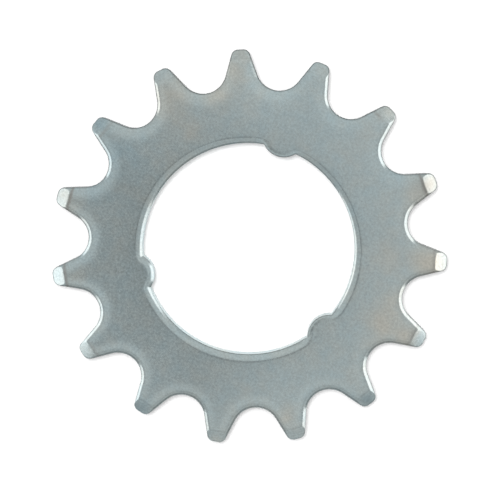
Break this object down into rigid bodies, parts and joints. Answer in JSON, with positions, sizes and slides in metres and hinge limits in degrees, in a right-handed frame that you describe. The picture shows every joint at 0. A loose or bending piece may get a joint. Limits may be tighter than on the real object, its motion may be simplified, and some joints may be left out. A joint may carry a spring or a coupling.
{
  "type": "single speed cog",
  "caption": "Flat steel single speed cog for a bicycle chain: bevelled teeth round a wide bore with rounded inner lugs that key it to a hub driver.",
  "frame": {"origin": "centre of the bore, on the back face", "axes": "+Z along the bore's axis, out of the front face with the rolled edges; +Y through the middle of a tooth"},
  "size_m": [0.0658, 0.0654, 0.003],
  "materials": {
    "zinc_plate": "satin"
  },
  "bodies": {
    "root": {"sprocket": "zinc_plate"}
  },
  "joints": []
}
